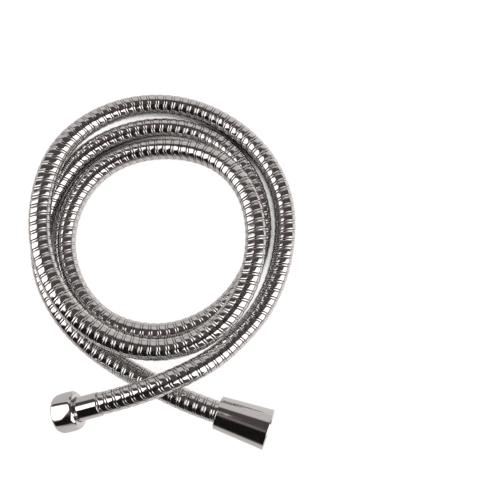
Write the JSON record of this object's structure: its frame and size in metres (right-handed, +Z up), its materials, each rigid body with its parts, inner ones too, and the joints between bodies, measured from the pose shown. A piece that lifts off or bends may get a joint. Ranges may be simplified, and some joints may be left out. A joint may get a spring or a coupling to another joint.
{
  "type": "shower hose",
  "caption": "Flexible chromed metal shower hose lying coiled, with a hexagon nut at one end and a long conical nut at the other.",
  "frame": {"origin": "on the floor that the hose lies on, under the middle of its outline", "axes": "+Z up from the floor; +Y from the two nuts across the coil; +X towards the conical nut's side"},
  "size_m": [0.1737, 0.2342, 0.0289],
  "materials": {
    "strip": "bright plated steel strip",
    "chrome": "polished chrome plate",
    "brass": "machined, bare",
    "washer": "matt black",
    "liner": "smooth extruded"
  },
  "bodies": {
    "hose": {"hose_jacket": "strip", "hose_liner": "liner", "hex_ferrule": "chrome", "hex_insert": "brass", "hex_washer": "washer", "cone_ferrule": "chrome", "cone_insert": "brass", "cone_washer": "washer"},
    "hex_nut": {"hex_nut": "chrome"},
    "cone_nut": {"cone_nut": "chrome"}
  },
  "joints": [
    {"name": "hex_nut_swivel", "type": "hinge", "parent": "hose", "child": "hex_nut", "pos_m": [-0.05124, -0.09361, 0.01322], "axis": [0.954, 0.2385, 0.1819], "continuous": true},
    {"name": "cone_nut_swivel", "type": "hinge", "parent": "hose", "child": "cone_nut", "pos_m": [0.05643, -0.10176, 0.0117], "axis": [-0.9467, 0.3143, -0.0709], "continuous": true}
  ]
}
